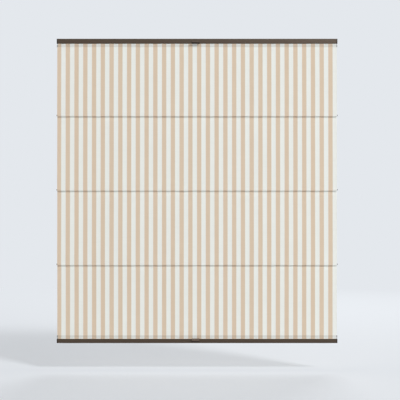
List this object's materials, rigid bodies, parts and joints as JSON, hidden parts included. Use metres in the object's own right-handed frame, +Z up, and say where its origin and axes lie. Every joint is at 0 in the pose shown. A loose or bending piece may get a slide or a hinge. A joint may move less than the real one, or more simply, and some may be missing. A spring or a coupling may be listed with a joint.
{
  "type": "roman blind",
  "caption": "Roman blind of striped woven cloth in overlapping panels between two slim dark rails, sliding on taut cords.",
  "frame": {"origin": "midway between the two upper screw holes, on the upper seat of the window recess", "axes": "+X along the rails to the right seen from the room, -Y towards the room, +Z up"},
  "size_m": [1.123, 0.0325, 1.2175],
  "materials": {
    "rail_bronze": "dark bronze anodised",
    "cap_plastic": "fine moulded grain",
    "grip_plastic": "moulded in the rails' bronze",
    "cloth_weave": "plain weave with beige and off-white stripes",
    "bar_aluminium": "mill finish",
    "batten_aluminium": "mill finish",
    "keder_plastic": "extruded",
    "cord_braid": "fine braid",
    "guide_plastic": "moulded",
    "shoe_plastic": "moulded",
    "stop_brass": "crimped"
  },
  "bodies": {
    "head": {"top_rail": "rail_bronze", "top_end_cap_left": "cap_plastic", "top_end_cap_right": "cap_plastic", "top_grip": "grip_plastic", "cloth": "cloth_weave", "top_hem_bar": "bar_aluminium", "top_keder": "keder_plastic", "tension_cord_left": "cord_braid", "tension_cord_right": "cord_braid", "top_cord_guide_left": "guide_plastic", "top_cord_guide_right": "guide_plastic", "top_shoe_left": "shoe_plastic", "top_shoe_right": "shoe_plastic", "bottom_shoe_left": "shoe_plastic", "bottom_shoe_right": "shoe_plastic", "top_cord_stops": "stop_brass", "bottom_cord_stops": "stop_brass"},
    "bottom_rail": {"bottom_rail": "rail_bronze", "bottom_end_cap_left": "cap_plastic", "bottom_end_cap_right": "cap_plastic", "bottom_grip": "grip_plastic", "bottom_keder": "keder_plastic", "bottom_hem_bar": "bar_aluminium", "bottom_cord_guide_left": "guide_plastic", "bottom_cord_guide_right": "guide_plastic", "crossing_cords": "cord_braid"},
    "batten_1": {"batten_1": "batten_aluminium", "batten_1_tips": "cap_plastic", "batten_1_eyes": "guide_plastic"},
    "batten_2": {"batten_2": "batten_aluminium", "batten_2_tips": "cap_plastic", "batten_2_eyes": "guide_plastic"},
    "batten_3": {"batten_3": "batten_aluminium", "batten_3_tips": "cap_plastic", "batten_3_eyes": "guide_plastic"}
  },
  "joints": [
    {"name": "bottom_rail_slide", "type": "slide", "parent": "head", "child": "bottom_rail", "axis": [0, 0, 1], "range_m": [0, 0.96], "deforming": ["cloth"]},
    {"name": "batten_1_slide", "type": "slide", "parent": "head", "child": "batten_1", "axis": [0, 0, 1], "range_m": [0, 0.234]},
    {"name": "batten_2_slide", "type": "slide", "parent": "head", "child": "batten_2", "axis": [0, 0, 1], "range_m": [0, 0.476]},
    {"name": "batten_3_slide", "type": "slide", "parent": "head", "child": "batten_3", "axis": [0, 0, 1], "range_m": [0, 0.718]}
  ],
  "couplings": [
    {"joint": "batten_1_slide", "follows": "bottom_rail_slide", "ratio": 0.24333},
    {"joint": "batten_2_slide", "follows": "bottom_rail_slide", "ratio": 0.49538},
    {"joint": "batten_3_slide", "follows": "bottom_rail_slide", "ratio": 0.74744}
  ]
}
